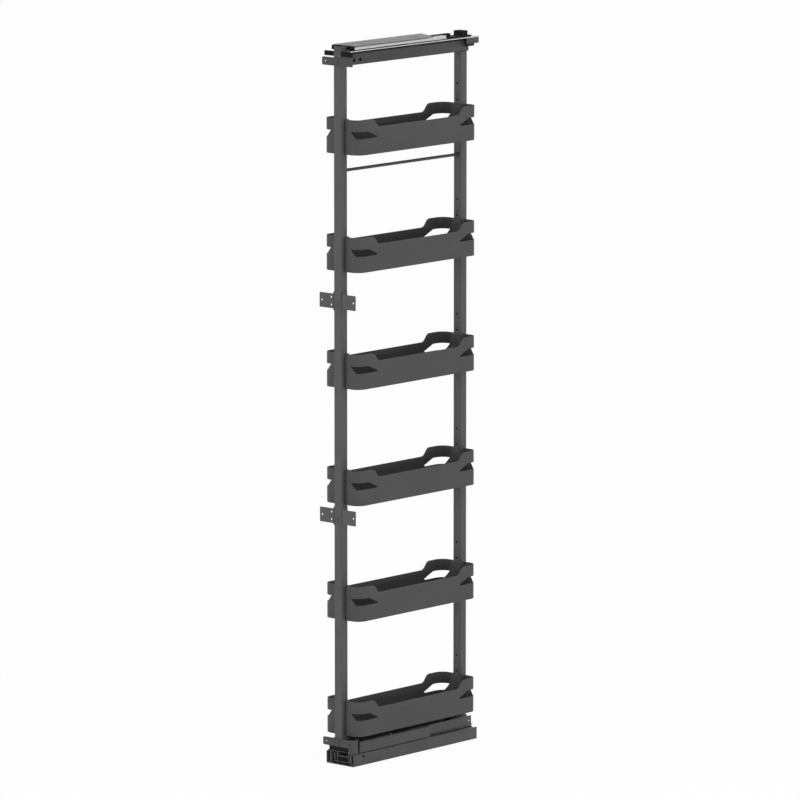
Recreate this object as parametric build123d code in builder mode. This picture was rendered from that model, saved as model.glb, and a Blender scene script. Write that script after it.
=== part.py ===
from build123d import *
import os

# Pull out pantry frame. X runs across, Y runs from the front to the rear, Z runs up.
# The origin is the middle of the base channel's underside. The frame pulls out towards -Y.
# Lengths are in millimetres and every piece stands where it sits with the frame pushed in.

# Heights and spacing of the whole frame
tube_size = 25.0
tube_wall = 1.5
tube_corner = 3.0
upright_spacing = 462.0
base_front_over = 4.0
base_rear_over = 14.0
basket_count = 6
hexagon_sides = 6
basket_pitch = 300.0
basket_lift = 16.0
beam_height = 30.0
beam_lift = 224.5
travel = 450.0
half_travel_share = 0.5
cut_over = 5.0

# Screws, rivets and running fits
screw_radius = 2.5
screw_fit = 0.1
screw_head_radius = 4.5
screw_head_height = 2.4
socket_radius = 1.5
socket_depth = 1.4
rivet_radius = 2.0
rivet_head_radius = 3.0
rivet_head_height = 1.0
mount_hole_radius = 2.75

# Base channel and the fixed ball races
base_width = 95.0
base_height = 32.0
base_wall = 2.0
base_bend = 2.0
base_hole_radius = 4.0
base_hole_front_inset = 36.0
base_hole_drop = 8.0
base_rivet_front_inset = 131.0
base_rivet_step = 24.0
base_rivet_drop = 4.5
race_wall = 1.5
race_bend = 1.6
race_inset = 13.5
race_foot_gap = 1.0
race_drop = 1.0
race_end_inset = 2.0
mount_inset = 32.0
mount_reach = 6.0

# Steel balls and their cages, lower and upper guides
lower_ball_radius = 3.15
upper_ball_radius = 2.35
ball_fit = 0.1
cage_hole_fit = 0.15
cage_wall = 1.6
lower_cage_height = 12.0
lower_cage_length = 200.0
lower_ball_count = 8
lower_ball_lift = 11.0
upper_cage_height = 6.0
upper_cage_length = 100.0
upper_ball_count = 6
cage_margin_share = 0.06
outer_cage_slack = 8.0
inner_cage_slack = 8.0

# Lower middle and inner profiles
member_wall = 1.5
member_bend = 2.0
lower_middle_front_inset = 8.0
lower_middle_rear_inset = 32.0
lower_middle_lift = 4.0
lower_middle_drop = 3.0
lower_inner_front_inset = 10.0
lower_inner_rear_inset = 14.0
lower_inner_lift = 3.0
lower_inner_web_lift = 11.75
front_plug_depth = 20.0
front_plug_fit = 0.3
stop_wall = 2.0
stop_height = 32.0
stop_rear_inset = 4.0
buffer_radius = 7.0
buffer_gap = 0.3

# Carrier channel, side skirts and the frame that stands on them
carrier_inset = 9.5
carrier_wall = 2.0
carrier_bend = 3.0
carrier_lift = 3.0
carrier_height = 28.0
carrier_front_inset = 17.0
carrier_rear_inset = 11.5
carrier_hole_radius = 2.5
carrier_hole_rear_inset = 7.5
carrier_hole_lift = 15.0
skirt_inset = 1.5
skirt_wall = 1.5
skirt_bend = 2.5
skirt_front_inset = 7.0
skirt_length = 272.0
skirt_lift = 2.0
skirt_screw_inset = 30.0
skirt_screw_count = 4

foot_wall = 2.0
foot_bend = 2.2
foot_side_gap = 2.0
foot_cheek_height = 22.0
foot_length = 64.0
foot_screw_inset = 10.0
cap_depth = 6.0
cap_fit = 0.3
cap_drop = 2.0
bolt_radius = 2.5
bolt_head_radius = 4.5
bolt_head_height = 3.0
bolt_length = 16.0
bolt_front_inset = 130.0

# Front bars
bar_width = 100.0
bar_wall = 1.5
bar_corner = 4.5
bar_height = 21.0
lower_bar_bend = 10.0
lower_bar_return = 22.0
lower_bar_leg = 14.5
lower_bar_drop = 13.5
upper_bar_bend = 3.0
upper_bar_return = 4.5
upper_bar_leg = 0.0
upper_bar_lift = 1.5
bar_hole_radius = 2.0
bar_hole_half_step = 39.0
bar_screw_half_step = 5.0

# Door brackets on the front upright
bracket_half_width = 61.0
bracket_height = 38.0
bracket_wall = 2.0
bracket_corner = 1.5
bracket_flange_depth = 22.0
bracket_flange_over = 5.0
bracket_bend = 2.2
bracket_hole_radius = 2.75
bracket_outer_hole_x = 53.3
bracket_inner_hole_x = 21.6
bracket_hole_step = 20.0
lower_bracket_drop = 30.0
upper_bracket_drop = 75.5
bracket_screw_drop = 11.0
bracket_screw_step = 10.0
bracket_side_screw_depth = 14.0

# Baskets
basket_width = 124.0
basket_wall = 2.5
basket_corner = 26.0
basket_side_height = 68.5
basket_end_height = 89.5
basket_end_flat = 50.0
basket_end_slope = 34.0
recess_fit = 0.5
recess_mouth_round = 5.0
rim_round = 0.8
slot_bottom = 41.0
slot_top = 59.5
slot_end_top = 33.0
slot_end_bottom = 48.0
slot_side_top = 38.0
slot_side_bottom = 68.0
slot_side_tip = 73.0
slot_tip_height = 44.0
basket_screw_low = 25.0
basket_screw_high = 55.0
hole_row_low = 99.0
hole_row_high = 141.0
row_hole_radius = 2.8

# Cross rod between the uprights
rod_radius = 4.0
rod_drop = 42.5
rod_nut_radius = 7.0
rod_nut_wall = 5.0

# Upper guide
cover_half_width = 38.0
cover_wall = 2.0
cover_rear_inset = 29.0
cover_skew = 39.0
cover_slot_length = 14.0
cover_slot_half_step = 27.0
cover_slot_inset = 40.0
cover_slot_step = 210.0
outer_half_width = 22.0
outer_rear_inset = 80.3
outer_lift = 2.8
outer_height = 8.0
guide_wall = 1.5
guide_bend = 1.6
guide_web_gap = 0.5
guide_middle_rear_inset = 26.8
guide_middle_lift = 2.0
guide_plate_wall = 2.5
guide_plate_over = 47.0
guide_rib_gap = 1.0
strip_half_width = 11.0
strip_height = 4.5
strip_end_inset = 4.0
strip_screw_inset = 40.0
strip_head_height = 1.4
beam_hole_radius = 4.6
beam_hole_inset = 25.3
beam_hole_step = 24.0
beam_hole_drop = 17.5
beam_rear_over = 5.0

# Spacer strip between the outer profile and the mounting plate
cover_spacer_half_width = 6.0
cover_spacer_height = 2.1
cover_spacer_reach = 35.0

# Rear spacer block of the upper guide
rear_plate_half_width = 16.0
rear_plate_lift = 0.7
rear_plate_wall = 3.6
rear_plate_length = 106.0
rear_block_half_width = 14.0
rear_block_depth = 23.5
rear_block_rise = 1.6
rear_block_setback = 69.0
rear_block_crown = 0.8

# Front connector and guide blocks
connector_drop = 0.4
connector_gap = 1.2
wing_half_width = 38.0
wing_height = 11.0
wing_depth = 3.5
wing_rise = 1.0
wing_wall = 2.5
guide_block_reach = 46.0
guide_block_lift = 0.7
guide_block_height = 12.0
guide_block_front = 10.7
guide_block_depth = 8.0
guide_block_round = 2.0

# Rear end bracket of the upper guide
end_bracket_half_width = 22.0
end_bracket_drop = 15.3
end_bracket_front_gap = 2.5
end_bracket_front_over = 18.5
end_bracket_wall = 3.0
end_buffer_height = 6.0
end_buffer_setback = 4.0
end_buffer_depth = 26.0
end_buffer_side_gap = 1.5

# Places that follow from the sizes above
base_length = base_front_over + upright_spacing + base_rear_over
base_front = -base_length / 2
base_rear = base_length / 2
front_upright_y = base_front + base_front_over
rear_upright_y = front_upright_y + upright_spacing
frame_middle_y = (front_upright_y + rear_upright_y) / 2
upright_front_y = front_upright_y - tube_size / 2
race_half_gap = base_width / 2 - race_inset
race_foot_half_width = base_width / 2 - base_wall - race_foot_gap
race_height = base_height - race_drop
mount_half_width = race_half_gap + mount_reach
lower_ball_gap = 2 * (lower_ball_radius + ball_fit)
lower_middle_half = race_half_gap - lower_ball_gap
lower_inner_half = lower_middle_half - member_wall - lower_ball_gap
lower_middle_front = base_front + lower_middle_front_inset
lower_middle_rear = base_rear - lower_middle_rear_inset
lower_middle_web_height = base_wall + lower_middle_lift
lower_middle_height = base_height - lower_middle_drop
lower_ball_height = lower_middle_web_height + lower_ball_lift
lower_inner_front = base_front + lower_inner_front_inset
lower_inner_rear = base_rear - lower_inner_rear_inset
lower_inner_foot_height = lower_middle_web_height + lower_inner_lift
lower_inner_web_height = lower_inner_foot_height + lower_inner_web_lift
carrier_half_width = base_width / 2 - carrier_inset
carrier_web_height = base_height + carrier_lift
carrier_top_height = carrier_web_height + carrier_height
carrier_front = base_front + carrier_front_inset
carrier_rear = base_rear - carrier_rear_inset
skirt_half_width = base_width / 2 - skirt_inset
skirt_bottom_height = base_height + skirt_lift
skirt_front = carrier_front + skirt_front_inset
skirt_rear = skirt_front + skirt_length
carrier_web_top = carrier_web_height + carrier_wall
foot_top = carrier_web_top + foot_wall
basket_first_height = carrier_top_height + basket_lift
basket_heights = [basket_first_height + basket_pitch * level for level in range(basket_count)]
beam_bottom_height = basket_heights[-1] + beam_lift
beam_top_height = beam_bottom_height + beam_height
lower_bar_height = carrier_top_height - lower_bar_drop
upper_bar_height = beam_bottom_height + upper_bar_lift
lower_bracket_height = basket_first_height + 2 * basket_pitch - lower_bracket_drop
upper_bracket_height = basket_first_height + 4 * basket_pitch - upper_bracket_drop
rod_height = basket_heights[-1] - rod_drop
upright_top = beam_top_height
beam_front = front_upright_y + tube_size / 2
beam_rear = rear_upright_y + tube_size / 2 + beam_rear_over
guide_front = beam_front
strip_top = beam_top_height + strip_height
plate_top = strip_top + guide_plate_wall
outer_front = guide_front + connector_gap
outer_rear = rear_upright_y - outer_rear_inset
outer_bottom_height = plate_top + outer_lift
outer_top_height = outer_bottom_height + outer_height
cover_bottom_height = outer_top_height + cover_spacer_height
cover_top_height = cover_bottom_height + cover_wall
outer_inner_half = outer_half_width - guide_wall
upper_ball_gap = 2 * (upper_ball_radius + ball_fit)
guide_middle_half = outer_inner_half - upper_ball_gap
guide_middle_bottom = plate_top + guide_middle_lift
guide_middle_top = outer_top_height - guide_wall - guide_web_gap
guide_rib_half = guide_middle_half - guide_wall - upper_ball_gap
guide_rib_top = guide_middle_top - guide_wall - guide_rib_gap
upper_ball_height = (guide_middle_bottom + guide_rib_top) / 2
guide_middle_front = outer_front + connector_gap
guide_middle_rear = outer_rear - guide_middle_rear_inset
guide_plate_end = rear_upright_y + guide_plate_over
rear_plate_bottom = plate_top + rear_plate_lift
rear_plate_top = rear_plate_bottom + rear_plate_wall
rear_block_top = cover_top_height + rear_block_rise
connector_top = cover_top_height - connector_drop
guide_block_top = plate_top + guide_block_lift

os.makedirs("parts", exist_ok=True)


def save(piece, name):
    """Labels a finished sub-part and writes its STEP file."""
    piece.part.label = name
    export_step(piece.part, f"parts/{name}.step")


def roll(points, wall, bend, front, rear):
    """Adds a rolled sheet profile: its middle line is in X and Z, its length in Y."""
    with BuildSketch(Plane.XZ.offset(-rear)) as section:
        with BuildLine():
            FilletPolyline(*points, radius=bend)
        trace(line_width=wall)
    extrude(section.sketch, amount=rear - front)


def drill(plane, spots, radius, depth):
    """Cuts round holes at spots of a plane, as deep each way as depth."""
    with BuildSketch(plane) as holes:
        with Locations(*spots):
            Circle(radius)
    extrude(holes.sketch, amount=depth, both=True, mode=Mode.SUBTRACT)


def stud(plane, spots, radius, length):
    """Adds round studs that rise from a plane at its spots."""
    with BuildSketch(plane) as ends:
        with Locations(*spots):
            Circle(radius)
    extrude(ends.sketch, amount=length)


def along_z(height):
    return Plane.XY.offset(height)


def along_x(distance):
    return Plane.YZ.offset(distance)


def facing_front(distance_y):
    return Plane.XZ.offset(-distance_y)


def square_tube(centre_y, bottom, top):
    """Adds an upright square tube."""
    with BuildSketch(along_z(bottom)) as section:
        with Locations((0, centre_y)):
            RectangleRounded(tube_size, tube_size, tube_corner)
            RectangleRounded(
                tube_size - 2 * tube_wall,
                tube_size - 2 * tube_wall,
                tube_corner - tube_wall,
                mode=Mode.SUBTRACT,
            )
    extrude(section.sketch, amount=top - bottom)


def ball_rows(centre_x, height, first_y, last_y, count):
    """Centres of the balls of the left and right rows."""
    margin = cage_margin_share * (last_y - first_y)
    step = (last_y - first_y - 2 * margin) / (count - 1)
    return [
        (side * centre_x, first_y + margin + step * index, height)
        for side in (-1, 1)
        for index in range(count)
    ]


def cage_pair(name, centre_x, height, cage_height, first_y, last_y, count, ball_radius):
    """Makes the left and right cage strips as one node and their balls as another."""
    centres = ball_rows(centre_x, height, first_y, last_y, count)
    with BuildPart() as cages:
        for side in (-1, 1):
            with BuildSketch(along_x(side * centre_x)):
                with Locations(((first_y + last_y) / 2, height)):
                    Rectangle(last_y - first_y, cage_height)
                with Locations(*[(y, z) for x, y, z in centres if x * side > 0]):
                    Circle(ball_radius + cage_hole_fit, mode=Mode.SUBTRACT)
            extrude(amount=cage_wall / 2, both=True)
    save(cages, f"{name}_ball_cages")
    with BuildPart() as balls:
        with Locations(*centres):
            Sphere(ball_radius)
    save(balls, f"{name}_balls")


# Base channel
with BuildPart() as base_channel:
    side_x = base_width / 2 - base_wall / 2
    web_z = base_wall / 2
    roll(
        [(-side_x, base_height), (-side_x, web_z), (side_x, web_z), (side_x, base_height)],
        base_wall, base_bend, base_front, base_rear,
    )
    mount_y = base_length / 2 - mount_inset
    mount_spots = [(x, y) for x in (-mount_half_width, mount_half_width) for y in (-mount_y, mount_y)]
    drill(along_z(web_z), mount_spots, mount_hole_radius, base_wall)
    wall_hole = (base_front + base_hole_front_inset, base_height - base_hole_drop)
    drill(along_x(0), [wall_hole], base_hole_radius, base_width)
    rivet_y = base_front + base_rivet_front_inset
    rivet_z = base_height - base_rivet_drop
    rivet_spots = [(rivet_y, rivet_z), (rivet_y + base_rivet_step, rivet_z)]
    drill(along_x(0), rivet_spots, rivet_radius + screw_fit, base_width)
save(base_channel, "base_channel")

with BuildPart() as base_rivets:
    for side in (-1, 1):
        outer_face = Plane.YZ.offset(side * base_width / 2)
        with BuildSketch(outer_face):
            with Locations(*rivet_spots):
                Circle(rivet_head_radius)
        extrude(amount=side * rivet_head_height)
        with BuildSketch(outer_face):
            with Locations(*rivet_spots):
                Circle(rivet_radius)
        extrude(amount=-side * base_wall)
save(base_rivets, "base_rivets")

# Fixed ball races, an L with its foot on the channel's floor
race_x = race_half_gap + race_wall / 2
race_z = base_wall + race_wall / 2
for side, name in ((-1, "lower_race_left"), (1, "lower_race_right")):
    with BuildPart() as race:
        roll(
            [
                (side * race_x, race_height),
                (side * race_x, race_z),
                (side * race_foot_half_width, race_z),
            ],
            race_wall, race_bend, base_front + race_end_inset, base_rear - race_end_inset,
        )
        drill(along_z(race_z), mount_spots, mount_hole_radius, race_wall)
        race_hole_x = side * race_x
        drill(along_x(race_hole_x), [wall_hole], base_hole_radius, race_wall)
    save(race, name)

# Rear stop plate with its rubber buffer
stop_front = base_rear - stop_rear_inset - stop_wall
with BuildPart() as rear_stop:
    with BuildSketch(facing_front(stop_front + stop_wall)):
        with Locations((0, base_wall + stop_height / 2)):
            Rectangle(2 * race_half_gap, stop_height)
    extrude(amount=stop_wall)
save(rear_stop, "rear_stop")

with BuildPart() as rear_buffer:
    with BuildSketch(facing_front(stop_front)):
        with Locations((0, lower_inner_web_height)):
            Circle(buffer_radius)
    extrude(amount=stop_front - lower_inner_rear - buffer_gap)
    fillet(rear_buffer.faces().sort_by(Axis.Y)[0].edges(), rim_round)
save(rear_buffer, "rear_buffer")

# Lower middle profile, a U that rides between the races on balls
with BuildPart() as lower_middle_profile:
    flange_x = lower_middle_half - member_wall / 2
    web_z = lower_middle_web_height + member_wall / 2
    roll(
        [
            (-flange_x, lower_middle_height),
            (-flange_x, web_z),
            (flange_x, web_z),
            (flange_x, lower_middle_height),
        ],
        member_wall, member_bend, lower_middle_front, lower_middle_rear,
    )
save(lower_middle_profile, "lower_middle_profile")

# Lower inner profile, two flanges tied by a web, with feet under the carrier
with BuildPart() as lower_inner_profile:
    flange_x = lower_inner_half - member_wall / 2
    foot_z = carrier_web_height - member_wall / 2
    for side in (-1, 1):
        roll(
            [
                (side * flange_x, lower_inner_foot_height),
                (side * flange_x, foot_z),
                (side * (carrier_half_width - carrier_bend), foot_z),
            ],
            member_wall, member_bend, lower_inner_front, lower_inner_rear,
        )
    with BuildSketch(facing_front(lower_inner_rear)):
        with Locations((0, lower_inner_web_height)):
            Rectangle(2 * flange_x, member_wall)
    extrude(amount=lower_inner_rear - lower_inner_front)
save(lower_inner_profile, "lower_inner_profile")

# Plastic plug in the inner profile's front end, under its web
with BuildPart() as lower_front_plug:
    plug_half = lower_inner_half - member_wall - front_plug_fit
    plug_top = lower_inner_web_height - member_wall / 2
    with BuildSketch(facing_front(lower_inner_front + front_plug_depth)):
        with Locations((0, (lower_inner_foot_height + plug_top) / 2)):
            Rectangle(2 * plug_half, plug_top - lower_inner_foot_height)
    extrude(amount=front_plug_depth)
save(lower_front_plug, "lower_front_plug")

# Lower cages: the outer pair travels a quarter and the inner pair three quarters of the way
outer_end = lower_middle_rear - half_travel_share * travel
outer_cage_y = outer_end - outer_cage_slack + half_travel_share**2 * travel
cage_pair(
    "lower_outer", (race_half_gap + lower_middle_half) / 2, lower_ball_height, lower_cage_height,
    outer_cage_y - lower_cage_length, outer_cage_y, lower_ball_count, lower_ball_radius,
)
inner_start = lower_middle_front - half_travel_share * travel
inner_cage_y = inner_start + inner_cage_slack + (half_travel_share + half_travel_share**2) * travel
cage_pair(
    "lower_inner", (lower_middle_half - member_wall + lower_inner_half) / 2, lower_ball_height,
    lower_cage_height, inner_cage_y, inner_cage_y + lower_cage_length, lower_ball_count,
    lower_ball_radius,
)

# Carrier channel that stands on the inner profile
front_foot_rear = upright_front_y + foot_length
rear_foot_front = rear_upright_y + tube_size / 2 - foot_length
foot_half_width = carrier_half_width - carrier_wall - foot_side_gap
foot_screw_x = (tube_size / 2 + foot_wall + foot_half_width) / 2
foot_screw_spots = [
    (side * foot_screw_x, y)
    for side in (-1, 1)
    for y in (front_foot_rear - foot_screw_inset, rear_foot_front + foot_screw_inset)
]
carrier_hole = (carrier_rear - carrier_hole_rear_inset, carrier_web_height + carrier_hole_lift)
skirt_screw_step = (skirt_length - 2 * skirt_screw_inset) / (skirt_screw_count - 1)
skirt_screw_y = [
    skirt_front + skirt_screw_inset + skirt_screw_step * index for index in range(skirt_screw_count)
]
skirt_screw_z = (carrier_web_top + carrier_top_height) / 2
skirt_spots = [(y, skirt_screw_z) for y in skirt_screw_y]
with BuildPart() as carrier:
    side_x = carrier_half_width - carrier_wall / 2
    web_z = carrier_web_height + carrier_wall / 2
    roll(
        [
            (-side_x, carrier_top_height),
            (-side_x, web_z),
            (side_x, web_z),
            (side_x, carrier_top_height),
        ],
        carrier_wall, carrier_bend, carrier_front, carrier_rear,
    )
    drill(along_x(0), [carrier_hole], carrier_hole_radius, base_width)
    drill(along_x(0), skirt_spots, screw_radius + screw_fit, base_width)
    drill(along_z(carrier_web_height), foot_screw_spots, screw_radius + screw_fit, carrier_wall * 2)
save(carrier, "carrier")

# Side skirts, outside the front of the carrier
skirt_x = skirt_half_width - skirt_wall / 2
skirt_top = carrier_top_height - skirt_wall / 2
bolt_x = (carrier_half_width + skirt_half_width - skirt_wall) / 2
bolt_y = carrier_front + bolt_front_inset
for side, name in ((-1, "side_skirt_left"), (1, "side_skirt_right")):
    with BuildPart() as skirt:
        roll(
            [
                (side * carrier_half_width, skirt_top),
                (side * skirt_x, skirt_top),
                (side * skirt_x, skirt_bottom_height),
            ],
            skirt_wall, skirt_bend, skirt_front, skirt_rear,
        )
        with BuildSketch(along_x(side * carrier_half_width)):
            with Locations(*skirt_spots):
                Circle(screw_head_radius)
        extrude(amount=side * (skirt_half_width - skirt_wall - carrier_half_width))
        drill(along_x(0), skirt_spots, screw_radius + screw_fit, skirt_half_width - skirt_wall)
        bolt_spot = [(side * bolt_x, bolt_y)]
        drill(along_z(carrier_top_height), bolt_spot, bolt_radius + screw_fit, skirt_wall + skirt_bend)
    save(skirt, name)

with BuildPart() as skirt_screws:
    for side in (-1, 1):
        with BuildSketch(along_x(side * (carrier_half_width - carrier_wall))):
            with Locations(*skirt_spots):
                Circle(screw_head_radius)
        extrude(amount=-side * screw_head_height)
        with BuildSketch(along_x(side * (carrier_half_width - carrier_wall))):
            with Locations(*skirt_spots):
                Circle(screw_radius)
        extrude(amount=side * (skirt_half_width - skirt_wall - carrier_half_width + carrier_wall))
    socket_end = carrier_half_width - carrier_wall - screw_head_height + socket_depth
    drill(along_x(0), skirt_spots, socket_radius, socket_end)
save(skirt_screws, "skirt_screws")

with BuildPart() as adjusting_bolts:
    bolt_spots = [(-bolt_x, bolt_y), (bolt_x, bolt_y)]
    with BuildSketch(along_z(carrier_top_height)):
        with Locations(*bolt_spots):
            RegularPolygon(bolt_head_radius, hexagon_sides)
    extrude(amount=bolt_head_height)
    stud(along_z(carrier_top_height), bolt_spots, bolt_radius, -bolt_length)
save(adjusting_bolts, "adjusting_bolts")

# Feet that carry the uprights on the carrier: a plate with two cheeks beside the tube
foot_x = tube_size / 2 + foot_wall / 2
foot_z = carrier_web_top + foot_wall / 2
for start, name in ((upright_front_y, "front_foot"), (rear_foot_front, "rear_foot")):
    with BuildPart() as foot:
        for side in (-1, 1):
            roll(
                [
                    (side * foot_half_width, foot_z),
                    (side * foot_x, foot_z),
                    (side * foot_x, foot_top + foot_cheek_height),
                ],
                foot_wall, foot_bend, start, start + foot_length,
            )
        with BuildSketch(along_z(carrier_web_top)):
            with Locations((0, start + foot_length / 2)):
                Rectangle(tube_size + foot_wall + 2 * foot_bend, foot_length)
        extrude(amount=foot_wall)
        near_spots = [(x, y) for x, y in foot_screw_spots if start < y < start + foot_length]
        drill(along_z(foot_top), near_spots, screw_radius + screw_fit, foot_wall * 2)
    save(foot, name)

with BuildPart() as foot_screws:
    stud(along_z(foot_top), foot_screw_spots, screw_head_radius, screw_head_height)
    stud(along_z(foot_top), foot_screw_spots, screw_radius, -(foot_wall + carrier_wall))
    drill(along_z(foot_top + screw_head_height), foot_screw_spots, socket_radius, socket_depth)
save(foot_screws, "foot_screws")

# Plastic caps in the carrier's front end, on the foot's plate to either side of its cheeks
with BuildPart() as carrier_caps:
    cap_start = tube_size / 2 + foot_wall + foot_bend
    cap_end = carrier_half_width - carrier_wall - cap_fit
    cap_top = carrier_top_height - cap_drop
    with BuildSketch(facing_front(carrier_front + cap_depth)):
        for side in (-1, 1):
            with Locations((side * (cap_start + cap_end) / 2, (foot_top + cap_top) / 2)):
                Rectangle(cap_end - cap_start, cap_top - foot_top)
    extrude(amount=cap_depth)
save(carrier_caps, "carrier_caps")


# Uprights with their rows of adjusting holes and screw holes
def upright_cuts(inner_face_y):
    """Cuts the holes that the baskets and the hole rows need in an upright."""
    wall = tube_wall + cut_over / 2
    rows = [(0, z + row) for z in basket_heights for row in (hole_row_low, hole_row_high)]
    drill(facing_front(inner_face_y), rows, row_hole_radius, wall)
    screws = [(0, z + row) for z in basket_heights for row in (basket_screw_low, basket_screw_high)]
    drill(facing_front(inner_face_y), screws, screw_radius + screw_fit, wall)
    drill(facing_front(inner_face_y), [(0, rod_height)], rod_radius + screw_fit, wall)


bracket_heights = (lower_bracket_height, upper_bracket_height)
bracket_screw_spots = [
    (0, height - bracket_screw_drop + step)
    for height in bracket_heights
    for step in (-bracket_screw_step / 2, bracket_screw_step / 2)
]
bracket_side_y = upright_front_y + bracket_side_screw_depth
bracket_side_spots = [
    (bracket_side_y, height + step)
    for height in bracket_heights
    for step in (-bracket_hole_step / 2, bracket_hole_step / 2)
]
lower_bar_middle = lower_bar_height + bar_height / 2
upper_bar_middle = upper_bar_height + bar_height / 2
bar_screw_spots = [
    (0, middle + step)
    for middle in (lower_bar_middle, upper_bar_middle)
    for step in (-bar_screw_half_step, bar_screw_half_step)
]

with BuildPart() as front_upright:
    square_tube(front_upright_y, foot_top, upright_top)
    upright_cuts(front_upright_y + tube_size / 2)
    front_wall = tube_wall + cut_over / 2
    drill(facing_front(upright_front_y), bracket_screw_spots, screw_radius + screw_fit, front_wall)
    drill(facing_front(upright_front_y), bar_screw_spots, screw_radius + screw_fit, front_wall)
    drill(along_x(0), bracket_side_spots, screw_radius + screw_fit, tube_size)
save(front_upright, "front_upright")

with BuildPart() as rear_upright:
    square_tube(rear_upright_y, foot_top, beam_bottom_height)
    upright_cuts(rear_upright_y - tube_size / 2)
save(rear_upright, "rear_upright")

# Top beam from the front upright over the rear one
beam_hole_z = beam_top_height - beam_hole_drop
beam_spots = [(beam_front + beam_hole_inset + beam_hole_step * index, beam_hole_z) for index in range(2)]
strip_screw_y = [beam_front + strip_screw_inset, beam_rear - strip_screw_inset]
with BuildPart() as top_beam:
    with BuildSketch(facing_front(beam_rear)):
        with Locations((0, beam_bottom_height + beam_height / 2)):
            RectangleRounded(tube_size, beam_height, tube_corner)
            RectangleRounded(
                tube_size - 2 * tube_wall,
                beam_height - 2 * tube_wall,
                tube_corner - tube_wall,
                mode=Mode.SUBTRACT,
            )
    extrude(amount=beam_rear - beam_front)
    drill(along_x(tube_size / 2), beam_spots, beam_hole_radius, 2 * tube_wall)
    drill(along_z(beam_top_height), [(0, y) for y in strip_screw_y], screw_radius + screw_fit, cut_over)
save(top_beam, "top_beam")


# Front bars: a flat strip with a rounded left end and a right end folded back, with or without a leg
def front_bar(bottom, bend, return_depth, leg):
    """Adds a front bar whose front face lies one wall ahead of the front upright."""
    middle_y = upright_front_y - bar_wall / 2
    end_x = bar_width / 2 - bar_wall / 2
    with BuildSketch(along_z(bottom)) as strip:
        with BuildLine():
            FilletPolyline(
                (-bar_width / 2, middle_y), (end_x, middle_y), (end_x, middle_y + return_depth),
                radius=bend,
            )
        trace(line_width=bar_wall)
    extrude(strip.sketch, amount=bar_height)
    if leg > 0:
        with BuildSketch(along_z(bottom - leg)) as fold:
            with BuildLine():
                FilletPolyline(
                    (end_x - bend - bar_wall, middle_y), (end_x, middle_y),
                    (end_x, middle_y + return_depth), radius=bend,
                )
            trace(line_width=bar_wall)
        extrude(fold.sketch, amount=leg)
    middle_z = bottom + bar_height / 2
    holes = [(side * bar_hole_half_step, middle_z) for side in (-1, 1)]
    drill(facing_front(upright_front_y), holes, bar_hole_radius, bar_wall * 2)
    screws = [(0, middle_z + step) for step in (-bar_screw_half_step, bar_screw_half_step)]
    drill(facing_front(upright_front_y), screws, screw_radius + screw_fit, bar_wall * 2)


bar_plans = (
    ("lower_front_bar", lower_bar_height, lower_bar_bend, lower_bar_return, lower_bar_leg),
    ("upper_front_bar", upper_bar_height, upper_bar_bend, upper_bar_return, upper_bar_leg),
)
for name, bottom, bend, return_depth, leg in bar_plans:
    with BuildPart() as bar:
        front_bar(bottom, bend, return_depth, leg)
        fillet(bar.edges().filter_by(Axis.Y).group_by(Axis.X)[0], bar_corner)
    save(bar, name)

with BuildPart() as bar_screws:
    bar_face = upright_front_y - bar_wall
    with BuildSketch(facing_front(bar_face)):
        with Locations(*bar_screw_spots):
            Circle(screw_head_radius)
    extrude(amount=screw_head_height / 2)
    with BuildSketch(facing_front(bar_face)):
        with Locations(*bar_screw_spots):
            Circle(screw_radius)
    extrude(amount=-(bar_wall + 2 * tube_wall))
save(bar_screws, "bar_screws")


# Door brackets: a wing flush with the upright's front and a flange on its side
def door_bracket(side, height):
    """Adds one door bracket, left for side -1 and right for side 1."""
    middle_y = upright_front_y + bracket_wall / 2
    flange_x = side * (tube_size / 2 + bracket_wall / 2)
    back_y = upright_front_y + bracket_flange_depth
    with BuildSketch(along_z(height - bracket_height / 2 - bracket_flange_over)) as angle:
        with BuildLine():
            FilletPolyline(
                (side * bracket_half_width, middle_y), (flange_x, middle_y), (flange_x, back_y),
                radius=bracket_bend,
            )
        trace(line_width=bracket_wall)
    extrude(angle.sketch, amount=bracket_height + 2 * bracket_flange_over)
    wing_start = tube_size / 2 + bracket_wall
    wing_middle = side * (wing_start + bracket_half_width) / 2
    for end in (-1, 1):
        with BuildSketch(facing_front(upright_front_y + bracket_bend + bracket_wall)) as trim:
            with Locations((wing_middle, height + end * (bracket_height / 2 + bracket_flange_over / 2))):
                Rectangle(bracket_half_width - wing_start, bracket_flange_over)
        extrude(trim.sketch, amount=bracket_wall * 2 + bracket_bend * 2, mode=Mode.SUBTRACT)
    outer = (side * bracket_outer_hole_x, height)
    inner = [(side * bracket_inner_hole_x, height + end * bracket_hole_step / 2) for end in (-1, 1)]
    drill(facing_front(upright_front_y), [outer], bracket_hole_radius, bracket_wall * 2)
    if side < 0:
        drill(facing_front(upright_front_y), inner, bracket_hole_radius, bracket_wall * 2)
    side_spots = [(y, z) for y, z in bracket_side_spots if abs(z - height) < bracket_height]
    drill(along_x(flange_x), side_spots, screw_radius + screw_fit, bracket_wall)


for level, height in (("lower", lower_bracket_height), ("upper", upper_bracket_height)):
    for side, hand in ((-1, "left"), (1, "right")):
        with BuildPart() as door_bracket_part:
            door_bracket(side, height)
            wing_edges = door_bracket_part.edges().filter_by(Axis.Y).group_by(Axis.X)
            fillet(wing_edges[0] if side < 0 else wing_edges[-1], bracket_corner)
        save(door_bracket_part, f"door_bracket_{level}_{hand}")

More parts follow.
